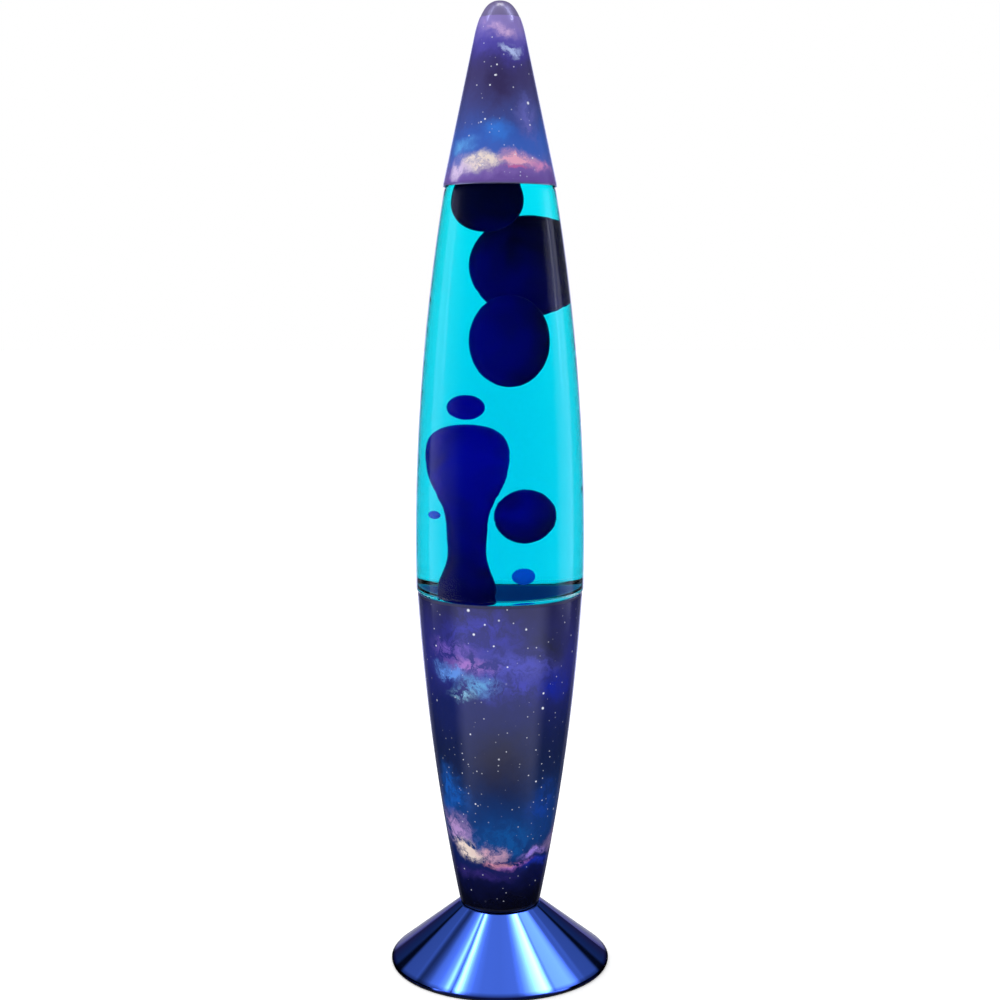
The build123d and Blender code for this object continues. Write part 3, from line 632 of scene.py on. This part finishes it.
def lathe(name, outline, material, body):
    """A closed solid of revolution about the lamp's axis, which rides a body."""
    mesh = bpy.data.meshes.new(name)
    form = bmesh.new()
    turns = [2 * pi * i / SEGMENTS for i in range(SEGMENTS)]
    rings = []
    for r, z in outline:
        if r == 0:
            rings.append([form.verts.new((0, 0, z * MM))])
        else:
            rings.append([form.verts.new((r * MM * cos(t), r * MM * sin(t), z * MM)) for t in turns])
    for low, high in zip(rings, rings[1:]):
        for i in range(SEGMENTS):
            j = (i + 1) % SEGMENTS
            corners = [low[i % len(low)], low[j % len(low)], high[j % len(high)], high[i % len(high)]]
            form.faces.new(list(dict.fromkeys(corners)))
    bmesh.ops.recalc_face_normals(form, faces=form.faces)
    form.to_mesh(mesh)
    form.free()
    for polygon in mesh.polygons:
        polygon.use_smooth = True
    mesh.materials.append(material)
    piece = bpy.data.objects.new(name, mesh)
    bpy.context.scene.collection.objects.link(piece)
    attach(piece, body)
    return piece


liquid = lathe("liquid_filling", liquid_outline(), dyed_liquid(), "globe")
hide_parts("liquid")


# ---- Studio --------------------------------------------------------------------------------------

scene = bpy.context.scene
scene.view_settings.view_transform = "Standard"


def mirrored_rays(tree):
    """1 for light that comes straight off a gloss, and 0 for light seen directly or through glass."""
    glossy = add(tree, "ShaderNodeLightPath", output="Is Glossy Ray")
    return add(tree, "ShaderNodeMath", {
        0: glossy, 1: glossy.node.outputs["Is Reflection Ray"]}, operation="MULTIPLY")


def paper_floor(reach):
    """White paper without gloss, so that it meets the white sweep behind it with no line."""
    material, tree, shader, output = new_material("white_paper_floor")
    set_inputs(
        shader, Base_Color=linear("F2F2F2"), Roughness=1.0, Specular_IOR_Level=0.0,
        Emission_Color=linear("FFFFFF"), Emission_Strength=0.25)
    # What is mirrored comes from the studio round the lamp, so mirrored light passes the paper by
    unseen = add(tree, "ShaderNodeBsdfTransparent")
    paper = add(tree, "ShaderNodeMixShader", {0: mirrored_rays(tree), 1: shader.outputs[0], 2: unseen})
    tree.links.new(paper, output.inputs["Surface"])
    corners = [(-reach, -reach, 0), (reach, -reach, 0), (reach, reach, 0), (-reach, reach, 0)]
    mesh = bpy.data.meshes.new("floor")
    mesh.from_pydata(corners, [], [(0, 1, 2, 3)])
    mesh.materials.append(material)
    floor = bpy.data.objects.new("floor", mesh)
    scene.collection.objects.link(floor)


paper_floor(8.0)

softbox_light = bpy.data.lights.new("top_softbox", "AREA")
softbox_light.shape = "RECTANGLE"
softbox_light.size = 0.5
softbox_light.size_y = 0.4
softbox_light.energy = 4
softbox = bpy.data.objects.new("top_softbox", softbox_light)
softbox.location = (0, 0.1, 1.6)
lamp_middle = Vector((0, 0, 0.22))
softbox.rotation_euler = (lamp_middle - softbox.location).to_track_quat("-Z", "Y").to_euler()
scene.collection.objects.link(softbox)

world = bpy.data.worlds.new("studio")
scene.world = world
world.use_nodes = True
room = world.node_tree
room.nodes.clear()
direction = add(room, "ShaderNodeTexCoord", output="Generated")
sideways = add(room, "ShaderNodeSeparateXYZ", {"Vector": direction}, "X")
upward = sideways.node.outputs["Z"]
forward = add(room, "ShaderNodeMath", {0: sideways.node.outputs["Y"], 1: -1.0}, operation="MULTIPLY")
# Degrees round from the front, to the right as positive, and degrees above the horizon
bearing_turn = add(room, "ShaderNodeMath", {0: sideways, 1: forward}, operation="ARCTAN2")
bearing = add(room, "ShaderNodeMath", {0: bearing_turn}, operation="DEGREES")
turned = add(room, "ShaderNodeMath", {0: bearing}, operation="ABSOLUTE")
tilt = add(room, "ShaderNodeMath", {0: upward}, operation="ARCSINE")
uprightness = add(room, "ShaderNodeMath", {0: tilt}, operation="DEGREES")


def between(value, low, high, soft):
    """1 between two angles, falling softly to 0 outside them."""
    half = (high - low) / 2
    off = add(room, "ShaderNodeMath", {0: value, 1: (low + high) / 2}, operation="SUBTRACT")
    off = add(room, "ShaderNodeMath", {0: off}, operation="ABSOLUTE")
    return add(room, "ShaderNodeMapRange", {
        "Value": off, "From Min": half + soft / 2, "From Max": half - soft / 2,
        "To Min": 0.0, "To Max": 1.0}, interpolation_type="SMOOTHSTEP")


def lit_inside(light, *masks):
    """Light that shows only where every mask is 1."""
    for mask in masks:
        light = add(room, "ShaderNodeMath", {0: light, 1: mask}, operation="MULTIPLY")
    return light


def all_lights(*lights):
    """The lights added up."""
    total = lights[0]
    for light in lights[1:]:
        total = add(room, "ShaderNodeMath", {0: total, 1: light}, operation="ADD")
    return total


def strips(stops):
    """Light against the bearing from the front, as lit strips with black flags between them."""
    steps = [
        add(room, "ShaderNodeMapRange", {
            "Value": turned, "From Min": low, "From Max": high,
            "To Min": 0.0, "To Max": high_light - low_light})
        for (low, low_light), (high, high_light) in zip(stops, stops[1:])
    ]
    return all_lights(*steps, stops[0][1])


# (degrees from the front, light) for the strips overhead, to the right and to the left
RIGHT_STRIPS = (
    (0, 0.7), (46, 0.75), (57, 1.2), (66, 2.5), (74, 5.0), (80, 9.0), (86, 13.0), (90, 6.0),
    (93, 1.2), (96, 2.4), (108, 2.8), (112, 2.0), (116, 0.5), (126, 0.45), (140, 0.4), (144, 0.03),
    (180, 0.02),
)
LEFT_STRIPS = (
    (0, 0.7), (50, 0.72), (64, 0.9), (72, 1.6), (77, 4.0), (82, 12.0), (85, 4.0), (87.5, 0.3),
    (90, 2.5), (92, 6.0), (96, 2.0), (101, 1.0), (107, 0.75), (110, 0.4), (113, 0.2), (116, 0.1),
    (120, 0.2), (124, 0.32), (142, 0.28), (146, 0.03), (180, 0.02),
)
# Lower edge, upper edge and softness of the ceiling that carries the strips, in degrees
OVERHEAD = (39, 140, 5)
# Panels: the angle they are measured by, from, to, softness; lower edge, upper edge, softness; light
PANELS = (
    # Soft panels at the sides and thin tubes beside them, which the glass mirrors
    (bearing, -112, -58, 5, -14, 15, 6, 2.0),
    (bearing, 86, 118, 8, -14, 15, 6, 2.0),
    (bearing, -96, -90, 3, 2, 15, 6, 3.0),
    (bearing, 100, 105, 3, 2, 15, 6, 3.0),
    # The table in front, a grey band in the film, and the white sweep behind
    (turned, -60, 68, 28, -31, -13, 8, 1.3),
    (turned, 159, 200, 6, -16, 16, 6, 1.0),
    # High wings and the dim back wall, at the sides of the foot
    (turned, 118, 139, 4, 25, 40, 4, 0.35),
    (turned, 142, 220, 4, -30, 36, 8, 0.12),
)
# What is left everywhere else
DIM = 0.015

to_right = add(room, "ShaderNodeMath", {0: bearing, 1: 0.0}, operation="GREATER_THAN")
to_left = add(room, "ShaderNodeMath", {0: 1.0, 1: to_right}, operation="SUBTRACT")
both_sides = all_lights(
    lit_inside(strips(RIGHT_STRIPS), to_right), lit_inside(strips(LEFT_STRIPS), to_left))
mirrored = all_lights(lit_inside(both_sides, between(uprightness, *OVERHEAD)), DIM)
for angle, low, high, soft, bottom, top, edge, light in PANELS:
    panel = lit_inside(light, between(angle, low, high, soft), between(uprightness, bottom, top, edge))
    mirrored = all_lights(mirrored, panel)
dark_room = add(room, "ShaderNodeBackground", {"Color": linear("CDD0FF"), "Strength": mirrored})
# Matt surfaces are lit more from behind, from the left and from above than from the front
uneven_light = add(room, "ShaderNodeVectorMath", {
    0: direction, 1: (-0.35, 0.4, 0.2)}, "Value", operation="DOT_PRODUCT")
shading = all_lights(uneven_light, 0.85)
depth = add(room, "ShaderNodeLightPath", output="Diffuse Depth")
bounced = add(room, "ShaderNodeMath", {0: depth, 1: 0.5}, operation="GREATER_THAN")
brightness = add(room, "ShaderNodeMix", {0: bounced, 2: 1.0, 3: shading}, data_type="FLOAT")
white_sweep = add(room, "ShaderNodeBackground", {"Color": (1, 1, 1, 1), "Strength": brightness})
studio = add(room, "ShaderNodeMixShader", {0: mirrored_rays(room), 1: white_sweep, 2: dark_room})
add(room, "ShaderNodeOutputWorld", {"Surface": studio})

# ---- Camera --------------------------------------------------------------------------------------

# Lens and film width in mm; distance in front and height in lamp heights; tilt down in radians
LENS, FILM_WIDTH = 59.14, 36.0
DISTANCE, EYE_HEIGHT = 1.6959, 0.7093
TILT = 0.1253
lamp_height = cad_box[1][2] - cad_box[0][2]
camera_data = bpy.data.cameras.new("camera")
camera_data.lens = LENS
camera_data.sensor_width = FILM_WIDTH
camera = bpy.data.objects.new("camera", camera_data)
camera.location = (0, -DISTANCE * lamp_height, EYE_HEIGHT * lamp_height)
camera.rotation_euler = (pi / 2 - TILT, 0, 0)
scene.collection.objects.link(camera)
scene.camera = camera
